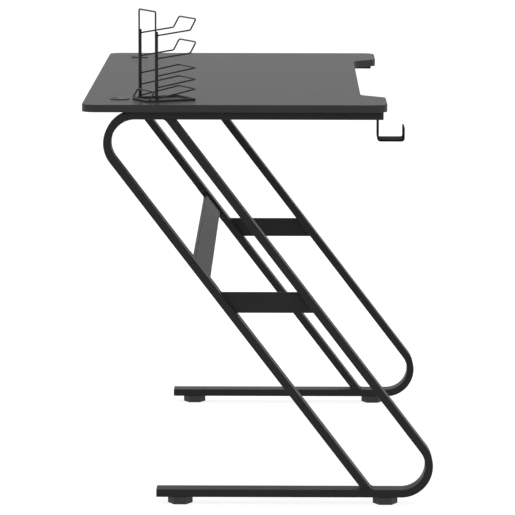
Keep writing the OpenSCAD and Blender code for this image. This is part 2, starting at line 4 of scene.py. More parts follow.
import bmesh
import bpy
import numpy as np
from mathutils import Matrix, Vector


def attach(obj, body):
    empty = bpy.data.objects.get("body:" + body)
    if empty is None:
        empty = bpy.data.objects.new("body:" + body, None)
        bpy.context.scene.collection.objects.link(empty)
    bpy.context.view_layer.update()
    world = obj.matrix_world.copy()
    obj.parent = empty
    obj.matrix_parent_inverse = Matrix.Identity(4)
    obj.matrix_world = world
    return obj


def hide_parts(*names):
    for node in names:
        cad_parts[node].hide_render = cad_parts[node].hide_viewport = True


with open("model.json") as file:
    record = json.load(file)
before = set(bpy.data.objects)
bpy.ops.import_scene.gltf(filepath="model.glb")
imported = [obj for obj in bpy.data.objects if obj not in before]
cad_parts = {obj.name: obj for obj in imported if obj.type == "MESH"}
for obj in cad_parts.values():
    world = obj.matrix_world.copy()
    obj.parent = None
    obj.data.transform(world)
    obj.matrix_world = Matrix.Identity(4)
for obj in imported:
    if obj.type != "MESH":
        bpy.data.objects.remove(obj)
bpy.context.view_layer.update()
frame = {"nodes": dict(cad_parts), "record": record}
print("frame loaded:", len(frame["nodes"]), "nodes")

mm = 0.001


def linearFrom(hexColour):
    # sRGB hex to the linear colour that the shader takes
    part = np.array([int(hexColour[i:i + 2], 16) for i in (1, 3, 5)]) / 255
    part = np.where(part <= 0.04045, part / 12.92, ((part + 0.055) / 1.055) ** 2.4)
    return (*part.tolist(), 1.0)


def addNode(tree, kind, settings=None, inputs=None):
    # one node, with its settings, and each input either a value or a link
    node = tree.nodes.new(kind)
    for key, value in (settings or {}).items():
        setattr(node, key, value)
    for key, value in (inputs or {}).items():
        if isinstance(value, bpy.types.NodeSocket):
            tree.links.new(value, node.inputs[key])
        else:
            node.inputs[key].default_value = value
    return node


def newMaterial(name):
    material = bpy.data.materials.new(name)
    material.use_nodes = True
    tree = material.node_tree
    tree.nodes.clear()
    place = addNode(tree, "ShaderNodeTexCoord").outputs["Object"]
    return material, tree, place


def finishMaterial(material, tree, surface):
    addNode(tree, "ShaderNodeOutputMaterial", None, {"Surface": surface})
    return material


def powderCoat(name, tone, light, grainMm, roughness, shine=0.2, cloudMm=60):
    # Polyester powder coat, sprayed and baked on steel: a fine orange peel that
    # breaks the highlight, whose crests are painted a shade lighter as a painted
    # highlight, and a faint cloud where the film lies thicker. The tone is the sum of
    # both, each clamped to its middle range. The peel is about twice as coarse as the
    # real one, so that it shows
    material, tree, place = newMaterial(name)
    peel = addNode(tree, "ShaderNodeTexNoise", None,
                   {"Vector": place, "Scale": 1 / (grainMm * mm), "Detail": 3.0,
                    "Roughness": 0.55})
    cloud = addNode(tree, "ShaderNodeTexNoise", None,
                    {"Vector": place, "Scale": 1 / (cloudMm * mm), "Detail": 2.0})
    drift = addNode(tree, "ShaderNodeMapRange", None,
                    {"Value": cloud.outputs["Fac"], "From Min": 0.3, "From Max": 0.7,
                     "To Max": 0.4})
    # painted highlight: the peel's crests lift the colour towards the lighter tone
    paintedCrestHighlight = addNode(tree, "ShaderNodeMapRange", None,
                    {"Value": peel.outputs["Fac"], "From Min": 0.35, "From Max": 0.65,
                     "To Max": 0.6})
    # the faint cloud plus the painted highlight on the crests
    cloudAndPaintedShading = addNode(tree, "ShaderNodeMath", {"operation": "ADD"},
                    {0: drift.outputs["Result"], 1: paintedCrestHighlight.outputs["Result"]})
    colour = addNode(tree, "ShaderNodeMix", {"data_type": "RGBA"},
                     {"Factor": cloudAndPaintedShading.outputs["Value"], "A": linearFrom(tone),
                      "B": linearFrom(light)})
    bump = addNode(tree, "ShaderNodeBump", None,
                   {"Height": peel.outputs["Fac"], "Strength": 0.5, "Distance": 0.2 * mm})
    rough = addNode(tree, "ShaderNodeMapRange", None,
                    {"Value": peel.outputs["Fac"], "From Min": 0.3, "From Max": 0.7,
                     "To Min": roughness - 0.04, "To Max": roughness + 0.06})
    shader = addNode(tree, "ShaderNodeBsdfPrincipled", None,
                     {"Base Color": colour.outputs["Result"], "Roughness": rough.outputs["Result"],
                      "Normal": bump.outputs["Normal"], "IOR": 1.5,
                      "Specular IOR Level": shine})
    return finishMaterial(material, tree, shader.outputs["BSDF"])


def mouldedPlastic(name, tone, light, grainMm, roughness):
    # Injection-moulded plastic from a spark-eroded mould: an even fine grain, painted
    # a shade lighter by its height as a painted highlight, and a soft wide highlight.
    # The grain is about twice as coarse as the real one, so that it shows
    material, tree, place = newMaterial(name)
    grain = addNode(tree, "ShaderNodeTexVoronoi", {"feature": "SMOOTH_F1"},
                    {"Vector": place, "Scale": 1 / (grainMm * mm), "Smoothness": 0.6})
    # painted highlight: the grain's raised parts are coloured nearer the lighter tone
    colour = addNode(tree, "ShaderNodeMix", {"data_type": "RGBA"},
                     {"Factor": grain.outputs["Distance"], "A": linearFrom(tone),
                      "B": linearFrom(light)})
    bump = addNode(tree, "ShaderNodeBump", None,
                   {"Height": grain.outputs["Distance"], "Strength": 0.5, "Distance": 0.15 * mm})
    shader = addNode(tree, "ShaderNodeBsdfPrincipled", None,
                     {"Base Color": colour.outputs["Result"], "Roughness": roughness,
                      "Normal": bump.outputs["Normal"], "IOR": 1.5,
                      "Specular IOR Level": 0.25})
    return finishMaterial(material, tree, shader.outputs["BSDF"])


def zincPlate(name, tone, markMm):
    # Bright zinc plating on turned steel: pale grey metal whose shine changes
    # a little about every millimetre, as the turning marks do
    material, tree, place = newMaterial(name)
    rings = addNode(tree, "ShaderNodeTexNoise", None,
                    {"Vector": place, "Scale": 1 / (markMm * mm), "Detail": 2.0})
    rough = addNode(tree, "ShaderNodeMapRange", None,
                    {"Value": rings.outputs["Fac"], "To Min": 0.24, "To Max": 0.42})
    shader = addNode(tree, "ShaderNodeBsdfPrincipled", None,
                     {"Base Color": linearFrom(tone), "Metallic": 1.0,
                      "Roughness": rough.outputs["Result"]})
    return finishMaterial(material, tree, shader.outputs["BSDF"])


def deskLaminate(name, tone, light, poreMm, fineMm, cloudMm):
    # Embossed decor film on a wood-based board: small leather-like pores pressed
    # into a dark grey sheet, which shines softly where it is seen flat. The film is
    # painted darker in its pores, by their depth times a wide faint cloud, as a
    # painted shade. The pores are drawn about twice as coarse as the real ones, so
    # that they show
    material, tree, place = newMaterial(name)
    pores = addNode(tree, "ShaderNodeTexVoronoi", {"feature": "DISTANCE_TO_EDGE"},
                    {"Vector": place, "Scale": 1 / (poreMm * mm)})
    fine = addNode(tree, "ShaderNodeTexNoise", None,
                   {"Vector": place, "Scale": 1 / (fineMm * mm), "Detail": 3.0})
    cloud = addNode(tree, "ShaderNodeTexNoise", None,
                    {"Vector": place, "Scale": 1 / (cloudMm * mm), "Detail": 2.0})
    height = addNode(tree, "ShaderNodeMath", {"operation": "MULTIPLY_ADD"},
                     {0: pores.outputs["Distance"], 1: 0.7, 2: fine.outputs["Fac"]})
    # painted shade: the lower the embossed height, the darker the pore is coloured
    depth = addNode(tree, "ShaderNodeMapRange", None,
                    {"Value": height.outputs["Value"], "From Min": 0.42, "From Max": 0.85})
    drift = addNode(tree, "ShaderNodeMapRange", None,
                    {"Value": cloud.outputs["Fac"], "From Min": 0.3, "From Max": 0.7,
                     "To Min": 0.75})
    cloudAndPaintedShading = addNode(tree, "ShaderNodeMath", {"operation": "MULTIPLY"},
                    {0: depth.outputs["Result"], 1: drift.outputs["Result"]})
    colour = addNode(tree, "ShaderNodeMix", {"data_type": "RGBA"},
                     {"Factor": cloudAndPaintedShading.outputs["Value"], "A": linearFrom(tone),
                      "B": linearFrom(light)})
    bump = addNode(tree, "ShaderNodeBump", None,
                   {"Height": height.outputs["Value"], "Strength": 0.5, "Distance": 0.15 * mm})
    shader = addNode(tree, "ShaderNodeBsdfPrincipled", None,
                     {"Base Color": colour.outputs["Result"], "Roughness": 0.33,
                      "Normal": bump.outputs["Normal"], "IOR": 1.42,
                      "Specular IOR Level": 0.02})
    return finishMaterial(material, tree, shader.outputs["BSDF"])


# tone, lighter tone, grain in millimetres, roughness and shine; for the board its
# pores, their fine grain and its cloud. The coat's fine grain also stands for the
# dull film of black oxide on the bolts
materials = {
    "frame_steel": powderCoat("powderCoatedTube", "#262627", "#323233", 0.9, 0.52),
    "rack_wire": powderCoat("powderCoatedWire", "#363637", "#434344", 0.8, 0.38),
    # the strip's coat is toned darker than the frame's, partly its own black and partly painted
    # shade for the tabletop's shadow over the hook
    "hook_steel": powderCoat("powderCoatedStripPaintedShade", "#111112", "#1a1a1b", 0.8, 0.69, 0.04),
    "black_steel": powderCoat("blackOxideBolt", "#2c2c2c", "#343434", 0.8, 0.34),
    "board": deskLaminate("embossedLaminate", "#38383a", "#4e4e50", 1.6, 0.7, 140),
    "edging": mouldedPlastic("edgingStrip", "#363637", "#444445", 0.8, 0.5),
    "black_plastic": mouldedPlastic("mouldedCapPlastic", "#2c2c2d", "#373738", 0.7, 0.5),
    "foot_plastic": mouldedPlastic("mouldedFootPlastic", "#464647", "#565657", 0.8, 0.55),
    "zinc_steel": zincPlate("zincPlatedSteel", "#b9b9b4", 1.2),
}
slotOf = {s["node"]: s["material_slot"] for s in frame["record"]["subparts"]}
for node, piece in frame["nodes"].items():
    piece.data.materials.clear()
    piece.data.materials.append(materials[slotOf[node]])
print("materials made:", len(materials))


def unit(vectors):
    # each vector over its own length
    return vectors / np.maximum(np.linalg.norm(vectors, axis=-1, keepdims=True), 1e-9)


def cornerLines(points):
    # at each point the ways back and ahead, half the angle between them, and the line
    # that halves it
    back, ahead = unit(np.roll(points, 1, 0) - points), unit(np.roll(points, -1, 0) - points)
    half = np.arccos(np.clip((back * ahead).sum(1), -1, 1)) / 2
    return back, ahead, half, unit(back + ahead)


def roundedOutline(corners, radii, steps, inset=0.0):
    # Each corner of a left-turning closed outline becomes an arc of so many steps,
    # centred where the corner's halving line is the radius away from both its edges;
    # the outline first moves inwards by the inset
    corners, radii = np.array(corners, float), np.array(radii, float)
    back, ahead, half, halving = cornerLines(corners)
    turn = np.sign(back[:, 1] * ahead[:, 0] - back[:, 0] * ahead[:, 1])
    corners += halving * (turn * inset / np.sin(half))[:, None]
    radii -= turn * inset
    centres = corners + halving * (radii / np.sin(half))[:, None]
    foot = corners + back * (radii / np.tan(half))[:, None] - centres
    start = np.arctan2(foot[:, 1], foot[:, 0])
    angle = start[:, None] + ((math.pi - 2 * half) * turn)[:, None] * np.linspace(0, 1, steps + 1)
    arcs = np.stack([np.cos(angle), np.sin(angle)], -1) * radii[:, None, None]
    return (centres[:, None] + arcs).reshape(-1, 2)


def boxCorners(width, height):
    return np.array([[-width, -height], [width, -height], [width, height], [-width, height]]) / 2


def skin(rings, ends="flat"):
    # A skin over rings of equally many points: four-sided faces between neighbours,
    # and flat end faces, or the last ring joined to the first where ends is "loop"
    index = np.arange(rings.shape[0] * rings.shape[1]).reshape(rings.shape[:2])
    caps = [] if ends == "loop" else [index[0][::-1].tolist(), index[-1].tolist()]
    if ends == "loop":
        index = np.vstack([index, index[:1]])
    low, high = index[:-1], index[1:]
    faces = np.stack([low, np.roll(low, -1, 1), np.roll(high, -1, 1), high], -1)
    return rings.reshape(-1, 3), faces.reshape(-1, 4).tolist() + caps


def together(shells):
    # several shells as one set of points and faces
    starts = np.cumsum([0] + [len(points) for points, faces in shells])
    faces = [[i + int(start) for i in face]
             for start, (points, shellFaces) in zip(starts, shells) for face in shellFaces]
    return np.concatenate([points for points, shellFaces in shells]), faces


def laid(shell, origin, across, back, up):
    # a shell drawn in its own frame, laid along three directions from an origin
    points, faces = shell
    return points @ np.array([across, back, up], float) + np.array(origin, float), faces


def mirrored(shell, side):
    # made for the left side (-1); for the right side its x changes sign
    points, faces = shell
    return points * np.array([-side, 1, 1]), faces


def roundedEdges(low, high, arris, steps=4):
    # Insets and heights up a slab's side: a quarter circle at each edge
    turn = np.linspace(0, math.pi / 2, steps + 1)
    insets, rises = arris * (1 - np.sin(turn)), arris * (1 - np.cos(turn))
    heights = np.concatenate([low + rises, high - rises[::-1]])
    return np.concatenate([insets, insets[::-1]]), heights


def stacked(outlines, heights):
    # level rings: each flat outline at the height that goes with it
    return np.array([np.column_stack([outline, np.full(len(outline), height)])
                     for outline, height in zip(outlines, heights)])


def slab(outlineAt, low, high, arris, steps=4):
    # A flat piece with both its edges rounded: its outline, moved inwards by each
    # inset, at the height that goes with it
    insets, heights = roundedEdges(low, high, arris, steps)
    return skin(stacked([outlineAt(inset) for inset in insets], heights))


def turned(profile, ends="flat", around=48, corners=0):
    # A profile of radii and heights turned about the upright axis; where a third
    # value is 1, the ring is a polygon with so many corners at that radius
    profile = np.array([tuple(p) + (0,) * (3 - len(p)) for p in profile], float)
    angle = np.linspace(0, 2 * math.pi, around, endpoint=False)
    flat = np.ones(around)
    if corners:
        sector = math.pi / corners
        flat = math.cos(sector) / np.cos(angle % (2 * sector) - sector)
    radius = profile[:, :1] * np.where(profile[:, 2:] > 0, flat, 1.0)
    heights = np.broadcast_to(profile[:, 1:2], radius.shape)
    return skin(np.stack([radius * np.cos(angle), radius * np.sin(angle), heights], -1), ends)


def rod(radius, low, high, around=48):
    return turned([(radius, low), (radius, high)], around=around)


def bentPath(points, radius, closed=False, steps=8):
    # A line through the points whose corners become arcs of the given radius, each
    # tangent to both its legs; an arc's points are its centre plus the radius times
    # a mix of two square directions by cosine and sine
    points = np.array(points, float)
    back, ahead, half, halving = cornerLines(points)
    square = unit(ahead - halving * (ahead * halving).sum(1, keepdims=True))
    centres = points + halving * (radius / np.sin(half))[:, None]
    spread = math.pi / 2 - half
    angle = spread[:, None] * np.linspace(-1, 1, steps + 1)
    arcs = centres[:, None] + radius * (square[:, None] * np.sin(angle)[..., None]
                                        - halving[:, None] * np.cos(angle)[..., None])
    if closed:
        return arcs.reshape(-1, 3)
    return np.vstack([points[:1], arcs[1:-1].reshape(-1, 3), points[-1:]])


def wire(path, radius, closed=False, around=16, ripple=0.0, pitch=2.0):
    # A round wire along a path: at each point a ring square to the path, whose
    # first direction is carried on from the ring before with the least turn. An open
    # end draws in to 0.72 of the radius over its last 0.3. A weld bead is the same
    # with its radius swelling once every pitch, in six rings
    path = np.array(path, float)
    if not closed:
        first, last = radius * 0.3 * unit(np.array([path[1] - path[0], path[-1] - path[-2]]))
        path = np.vstack([path[:1], path[:1] + first, path[1:-1], path[-1:] - last, path[-1:]])
    if ripple:
        reach = np.concatenate([[0], np.cumsum(np.linalg.norm(np.diff(path, axis=0), axis=1))])
        along = np.linspace(0, reach[-1], int(reach[-1] / pitch * 6))
        path = np.stack([np.interp(along, reach, path[:, k]) for k in range(3)], -1)
        swell = 1 + ripple * (np.abs(np.sin(math.pi * along / pitch)) - 0.5)
    else:
        swell = np.ones(len(path))
    ahead = np.roll(path, -1, 0) - path
    behind = path - np.roll(path, 1, 0)
    if not closed:
        ahead[-1], behind[0] = behind[-1], ahead[0]
    tangent = unit(unit(ahead) + unit(behind))
    across = np.empty_like(path)
    start = np.eye(3)[np.argmin(np.abs(tangent[0]))]
    for i, along in enumerate(tangent):
        start = across[i] = unit(start - along * (start @ along))
    upright = np.cross(tangent, across)
    angle = np.linspace(0, 2 * math.pi, around, endpoint=False)
    size = radius * swell
    if not closed:
        size[[0, -1]] *= 0.72
    rings = path[:, None] + size[:, None, None] * (across[:, None] * np.cos(angle)[:, None]
                                                   + upright[:, None] * np.sin(angle)[:, None])
    return skin(rings, "loop" if closed else "flat")


def newMesh(name, shell):
    points, faces = shell
    mesh = bpy.data.meshes.new(name)
    mesh.from_pydata((points * mm).tolist(), [], faces)
    work = bmesh.new()
    work.from_mesh(mesh)
    bmesh.ops.recalc_face_normals(work, faces=work.faces)
    work.to_mesh(mesh)
    work.free()
    piece = bpy.data.objects.new(name, mesh)
    bpy.context.collection.objects.link(piece)
    return piece


def addPiece(name, shell, slot, replaces=(), body="desk", cut=None, crease=38.0):
    # puts a piece into the scene: closed, facing outwards, with the cutters' space
    # taken out, smooth up to the crease angle, and with its flat faces kept flat
    piece = newMesh(name, shell)
    if cut is not None:
        cutter = newMesh(name + "Cutter", cut)
        modifier = piece.modifiers.new("holes", "BOOLEAN")
        modifier.operation, modifier.solver, modifier.object = "DIFFERENCE", "EXACT", cutter
        finished = piece.evaluated_get(bpy.context.evaluated_depsgraph_get())
        piece.data = bpy.data.meshes.new_from_object(finished)
        piece.modifiers.clear()
        bpy.data.objects.remove(cutter)
    piece.data.shade_smooth()
    piece.data.set_sharp_from_angle(angle=math.radians(crease))
    flats = piece.modifiers.new("flats", "WEIGHTED_NORMAL")
    flats.keep_sharp = True
    piece.data.materials.clear()
    piece.data.materials.append(materials[slot])
    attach(piece, body)
    if replaces:
        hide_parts(*replaces)
    return piece


# the sizes that several pieces share, in millimetres
desk = {"width": 1100, "depth": 562, "height": 750, "board": 14, "edging": 1,
        "recess": 46, "wingTip": 149, "wingRoot": 193, "corner": 25, "tipCorner": 25,
        "recessCorner": 35, "legReach": 89, "legInset": 12}
tube = {"width": 40, "thick": 14.5, "wall": 1.2, "corner": 1.4, "bend": 51.75,
        "legDepth": 612, "rail": 455, "strutPitch": 129.5}
foot = {"height": 14, "across": 46.6, "edge": 0.8, "corner": 1.0, "gap": 0.15, "rear": 42.5,
        "front": 29.5, "stud": 4, "studGap": 0.3, "pitch": 1.25, "threadDepth": 0.55}
board = {"edge": 0.3, "clearance": 0.1}
railScrew = {"first": 28.5, "pitch": 130, "count": 4, "hole": 3.3, "access": 6.1,
             "insert": 4.6, "depth": 10.1}
past = 5  # how far a cutter reaches past what it cuts

sideX = desk["width"] / 2
backY = (desk["depth"] + desk["legReach"]) / 2
wingY = backY - desk["depth"]
recessY = wingY + desk["recess"]
railTop = desk["height"] - desk["board"]
legOut = sideX - desk["legInset"]
legIn = legOut - tube["width"]
legMid = (legOut + legIn) / 2
bendOut = tube["bend"] + tube["thick"] / 2
highBend = np.array([tube["legDepth"] - backY - bendOut, railTop - bendOut])
lowBend = np.array([bendOut - backY, foot["height"] + bendOut])
span, frameMiddle = highBend - lowBend, (highBend + lowBend) / 2
lean = math.atan2(span[1], span[0]) + math.asin((tube["strutPitch"] - 2 * tube["bend"])
                                                / np.linalg.norm(span))
upStrut = np.array([math.cos(lean), math.sin(lean)])
railEnd, baseEnd = highBend[0] - tube["rail"], lowBend[0] + tube["rail"]
footYs = {"front": lowBend[0] + foot["front"], "rear": baseEnd - foot["rear"]}
sides = {"left": -1, "right": 1}


def strutY(z, forward):
    # where a line along the struts, so far forward of the frame's middle, meets a height
    return frameMiddle[0] + (z - frameMiddle[1]) / math.tan(lean) - forward / math.sin(lean)


def topOutline(inset):
    # the tabletop seen from above, with its two wings and the recess between them
    corners = [(-sideX, backY), (-sideX, wingY), (desk["wingTip"] - sideX, wingY),
               (desk["wingRoot"] - sideX, recessY), (sideX - desk["wingRoot"], recessY),
               (sideX - desk["wingTip"], wingY), (sideX, wingY), (sideX, backY)]
    outer, tip, inner = desk["corner"], desk["tipCorner"], desk["recessCorner"]
    return roundedOutline(corners, [outer, outer, tip, inner, inner, tip, outer, outer], 14, inset)


# the cable grommets, and the headphone hook with its two screws
grommet = {"fromSide": 107, "fromBack": 66, "flange": 19, "rise": 2, "sleeve": 16,
           "wall": 2.2, "ease": 0.3, "lipWide": 2.9, "lipHigh": 1.5, "cap": 15.2,
           "capGap": 0.06, "capThick": 2, "capEdge": 0.35, "notch": 12, "notchIn": 7.2,
           "skirt": 1.1, "skirtTop": 0.5}
hook = {"width": 65, "thick": 3, "space": 45, "drop": 59, "lip": 26, "bend": 3, "flange": 32,
        "back": 14.6, "side": 3, "edge": 0.5, "screwsIn": 19.2, "screw": 2, "screwGap": 0.3,
        "screwDeep": 9, "pitch": 1.4, "threadDepth": 0.4, "head": 4, "headRise": 2.2,
        "headEase": (0.2, 0.3), "dome": ((0.94, 0.5), (0.72, 0.85), (0.5, 1.0)), "socket": 1.4}
grommetX, grommetY = sideX - grommet["fromSide"], backY - grommet["fromBack"]
screwYs = [railEnd + railScrew["first"] + i * railScrew["pitch"]
           for i in range(railScrew["count"])]
strapRear = wingY + hook["back"] + hook["thick"]
hookScrews = [(-legIn + hook["side"] + hook["width"] * share, strapRear + hook["screwsIn"])
              for share in (0.25, 0.75)]


def moved(shell, x, y, z):
    points, faces = shell
    return points + np.array([x, y, z]), faces


def makeTabletop(spec):
    # the laminated board, its edges eased, bored for grommets, inserts and screws
    top, low = desk["height"], railTop
    shell = slab(lambda inset: topOutline(desk["edging"] + inset), low, top, spec["edge"], 3)
    sleeve = rod(grommet["sleeve"] + spec["clearance"], low - past, top + past, 96)
    insert = rod(railScrew["insert"], -past, railScrew["depth"], 32)
    screw = rod(hook["screw"] + spec["clearance"], -past, hook["screwDeep"], 24)
    bores = [moved(screw, x, y, low) for x, y in hookScrews]
    for side in sides.values():
        bores.append(moved(sleeve, side * grommetX, grommetY, 0))
        bores += [moved(insert, side * legMid, y, low) for y in screwYs]
    addPiece("tabletopBoard", shell, "board", ["tabletop"], cut=together(bores), crease=50)


edging = {"arris": 0.7}


def makeEdging(spec):
    # the strip round the board: outer face with both arrises rounded, inner face flat
    insets, heights = roundedEdges(railTop, desk["height"], spec["arris"], 5)
    insets = np.concatenate([[desk["edging"]], insets, [desk["edging"]]])
    heights = np.concatenate([[railTop], heights, [desk["height"]]])
    rings = stacked([topOutline(inset) for inset in insets], heights)
    addPiece("edgingStrip", skin(rings, "loop"), "edging", ["edge_band"], crease=50)


makeTabletop(board)
makeEdging(edging)
print("tabletop made")


def tubeSection(inset):
    corners = boxCorners(tube["width"], tube["thick"])
    return roundedOutline(corners, [tube["corner"]] * 4, 5, inset)


def bentTube(inset):
    # One tube skin: the section carried forward along the top rail, round the bend,
    # whose stations are the bend's middle plus its radius times cosine and sine, and
    # down the strut, where the last ring is sheared along the strut to the cut level
    bend = np.linspace(math.pi / 2, lean - math.pi / 2, 40)
    normals = np.stack([np.cos(bend), np.sin(bend)], -1)
    centres = highBend + tube["bend"] * normals
    section = tubeSection(inset)
    centres = np.vstack([[railEnd, centres[0, 1]], centres, centres[-1:] - upStrut])
    normals = np.vstack([normals[:1], normals, normals[-1:]])
    rings = np.empty((len(centres), len(section), 3))
    rings[..., 0] = section[:, 0] - legMid
    rings[..., 1:] = centres[:, None] + section[None, :, 1:] * normals[:, None]
    level = foot["height"] + tube["thick"]
    reach = (rings[-1, :, 2:] - level) / upStrut[1]
    rings[-1, :, 1:] -= reach * upStrut
    return rings


def standTurned(points):
    # the front tube is the rear one turned half round about the frame's middle
    points = points.copy()
    points[..., 1:] = 2 * frameMiddle - points[..., 1:]
    return points


# the welds of legs, ties and cross bar: the hollow face's radius and ripple, and how
# far it is sunk; the beads' radius, swell and pitch, how far the legs' beads start
# before the strut and how far they lie in from the tube's sides
weld = {"face": 8, "ripple": 0.35, "sunk": 0.6, "bead": 1.1, "swell": 0.25, "pitch": 2.4,
        "lead": 1, "fromSide": 0.2}


def weldFace():
    # The weld in the open corner at a strut's foot: a hollow face between the rail and
    # the strut, which swells once every pitch across the tube as the runs were laid
    level = foot["height"] + tube["thick"]
    corner = np.array([strutY(level, -(tube["strutPitch"] - tube["thick"]) / 2), level])
    share = np.linspace(0, 1, 7)
    width = tube["width"] - 2 * tube["corner"]
    x = np.linspace(-width / 2, width / 2, int(width / weld["pitch"] * 6))
    swell = weld["ripple"] * np.abs(np.sin(math.pi * x / weld["pitch"]))
    centre = corner + weld["face"] * np.array([-math.tan(lean / 2), 1])
    angle = -math.pi / 2 + share * lean
    radius = weld["face"] - swell[:, None] * np.sin(math.pi * share)
    face = centre + radius[..., None] * np.stack([np.cos(angle), np.sin(angle)], -1)
    sunk = weld["sunk"]
    low, high = face[:, :1] + [0, -sunk], face[:, -1:] + [sunk, -sunk / 2]
    heel = np.broadcast_to(corner + [sunk, -sunk], low.shape)
    outline = np.concatenate([low, face, high, heel], 1)
    across = np.broadcast_to(x[:, None, None], outline.shape[:2] + (1,)) - legMid
    return np.concatenate([across, outline], -1)


def weldBead(path):
    # a run of weld along a path, its radius swelling once every pitch
    return wire(path, weld["bead"], around=12, ripple=weld["swell"], pitch=weld["pitch"])


def ringBeads(rings):
    # a run of weld round each ring of a section
    return [weldBead(np.vstack([ring, ring[:1]])) for ring in rings]


def holeAlong(origin, axis, radius, low, high, around=32):
    # a round cutter along an axis of the y-z plane or across the desk
    axis = np.array(axis, float)
    across = np.eye(3)[np.argmin(np.abs(axis))]
    across = unit(across - axis * (across @ axis))
    return laid(rod(radius, low, high, around), origin, across, np.cross(axis, across), axis)


# the cross bar with its end plates, bolts and weld nuts
bar = {"width": 47, "thick": 9, "corner": 1.4, "middle": 428, "plateLength": 90, "plate": 3,
       "plateCorner": 1.6, "plateEdge": 0.4, "boltPitch": 69, "hole": 3.3, "plateHole": 3.05,
       "bolt": 3, "shank": 2.7, "pitch": 1.0, "threadDepth": 0.35, "head": 4.8, "headRise": 2.6,
       "headEase": 0.3, "rim": 0.15, "socket": 2.4, "socketEdge": 3.0, "socketDeep": 1.6,
       "socketTip": (0.4, 2.2), "nut": 10, "nutThick": 5, "nutEase": (0.4, 0.6),
       "nutFace": 0.93}
barOrigin = np.array([0, strutY(bar["middle"], -(tube["strutPitch"] + tube["thick"]) / 2),
                      bar["middle"]])
upBar = np.array([0, *upStrut])
intoBar = np.array([0, -upStrut[1], upStrut[0]])
boltPlaces = [barOrigin + upBar * end * bar["boltPitch"] / 2 + intoBar * tube["thick"] / 2
              for end in (-1, 1)]


def makeLeg(side, name):
    # both bent tubes of a leg, hollow and with their drilled holes, and the welds in
    # the corners and along the sides of the struts' feet
    outer, inner = bentTube(0), bentTube(tube["wall"])
    hollow = np.concatenate([outer, inner[::-1]])
    across, up, middle = (1, 0, 0), (0, 0, 1), tube["thick"] / 2
    holes = [holeAlong(place, across, bar["hole"], -legOut - past, past - legIn)
             for place in boltPlaces]
    for y in screwYs:
        place = (-legMid, y, railTop)
        holes.append(holeAlong(place, up, railScrew["hole"], -middle, past))
        holes.append(holeAlong(place, up, railScrew["access"], -tube["thick"] - past, -middle))
    addPiece(name + "RearTube", mirrored(skin(hollow, "loop"), side), "frame_steel",
             [name + "_rear_tube"], cut=mirrored(together(holes), side))
    studs = [holeAlong((-legMid, y, foot["height"]), up, foot["stud"] + foot["studGap"],
                       -past, middle) for y in footYs.values()]
    addPiece(name + "FrontTube", mirrored(skin(standTurned(hollow), "loop"), side), "frame_steel",
             [name + "_front_tube"], cut=mirrored(together(studs), side))
    beads = [skin(weldFace()), skin(standTurned(weldFace()))]
    level = foot["height"] + tube["thick"]
    ends = [strutY(level, -(tube["strutPitch"] + tube["thick"]) / 2) - weld["lead"],
            strutY(level, -(tube["strutPitch"] - tube["thick"]) / 2)]
    for x in (weld["fromSide"] - legOut, -weld["fromSide"] - legIn):
        line = np.array([(x, y, level) for y in ends])
        beads += [weldBead(line), weldBead(standTurned(line))]
    addPiece(name + "FootWelds", mirrored(together(beads), side), "frame_steel", crease=60)


tie = {"thick": 12, "height": 38, "middle": 379, "corner": 1.2}


def makeTie(side, name, spec):
    # the tie: a soft-cornered section carried between the struts' facing sides, its
    # end rings sheared to their slope, with a bead of weld round each end
    section = roundedOutline(boxCorners(spec["thick"], spec["height"]), [spec["corner"]] * 4, 5)
    face = (tube["strutPitch"] - tube["thick"]) / 2
    z = spec["middle"] + section[:, 1]
    rings = np.stack([np.column_stack([section[:, 0] - legMid, strutY(z, forward), z])
                      for forward in (-face, face)])
    addPiece(name + "Tie", mirrored(skin(rings), side), "frame_steel", [name + "_tie"])
    addPiece(name + "TieWelds", mirrored(together(ringBeads(rings)), side), "frame_steel",
             crease=60)


for name, side in sides.items():
    makeLeg(side, name)
    makeTie(side, name, tie)
print("leg frames made")


def makeCrossBar(spec):
    # the flat bar: its section, wide along the strut and thin into it, carried from
    # one end plate to the other, with a bead of weld round each end
    section = roundedOutline(boxCorners(spec["width"], spec["thick"]), [spec["corner"]] * 4, 5)
    section = section + np.array([0, spec["thick"] / 2])
    half = legIn - spec["plate"]
    rings = np.stack([np.column_stack([np.full(len(section), x), section])
                      for x in (-half, half)])
    axes = ((1, 0, 0), upBar, intoBar)
    addPiece("crossBar", laid(skin(rings), barOrigin, *axes), "frame_steel", ["cross_bar"])
    addPiece("crossBarWelds", laid(together(ringBeads(rings)), barOrigin, *axes),
             "frame_steel", crease=60)


def makeBarPlate(side, name, spec):
    # the end plate: its outline stands on edge, its arrises are eased, and its two
    # bolt holes are drilled
    def outline(inset):
        corners = boxCorners(spec["plateLength"], tube["thick"])
        return roundedOutline(corners, [spec["plateCorner"]] * 4, 5, inset)
    origin = barOrigin + intoBar * tube["thick"] / 2 - [legIn, 0, 0]
    shell = laid(slab(outline, 0, spec["plate"], spec["plateEdge"]), origin,
                 upBar, intoBar, (1, 0, 0))
    holes = [holeAlong(place, (1, 0, 0), spec["plateHole"], -legIn - past,
                       spec["plate"] - legIn + past) for place in boltPlaces]
    addPiece(name + "BarPlate", mirrored(shell, side), "frame_steel", [name + "_bar_plate"],
             cut=mirrored(together(holes), side))


def threaded(radius, low, high, pitch, depth, around=36):
    # A rod with a thread: its radius drops by the depth along a helix, as a triangle
    # wave of the height over the pitch less the turn, with eight rings to a pitch
    rows = int((high - low) / pitch * 8)
    height = np.linspace(low, high, rows)[:, None]
    angle = np.linspace(0, 2 * math.pi, around, endpoint=False)[None]
    phase = (height / pitch - angle / (2 * math.pi)) % 1
    taper = np.clip(np.minimum(height - low, high - height) / pitch, 0, 1)
    size = radius - depth * (np.abs(2 * phase - 1) * taper + (1 - taper))
    return skin(np.stack([size * np.cos(angle), size * np.sin(angle),
                          np.broadcast_to(height, size.shape)], -1))


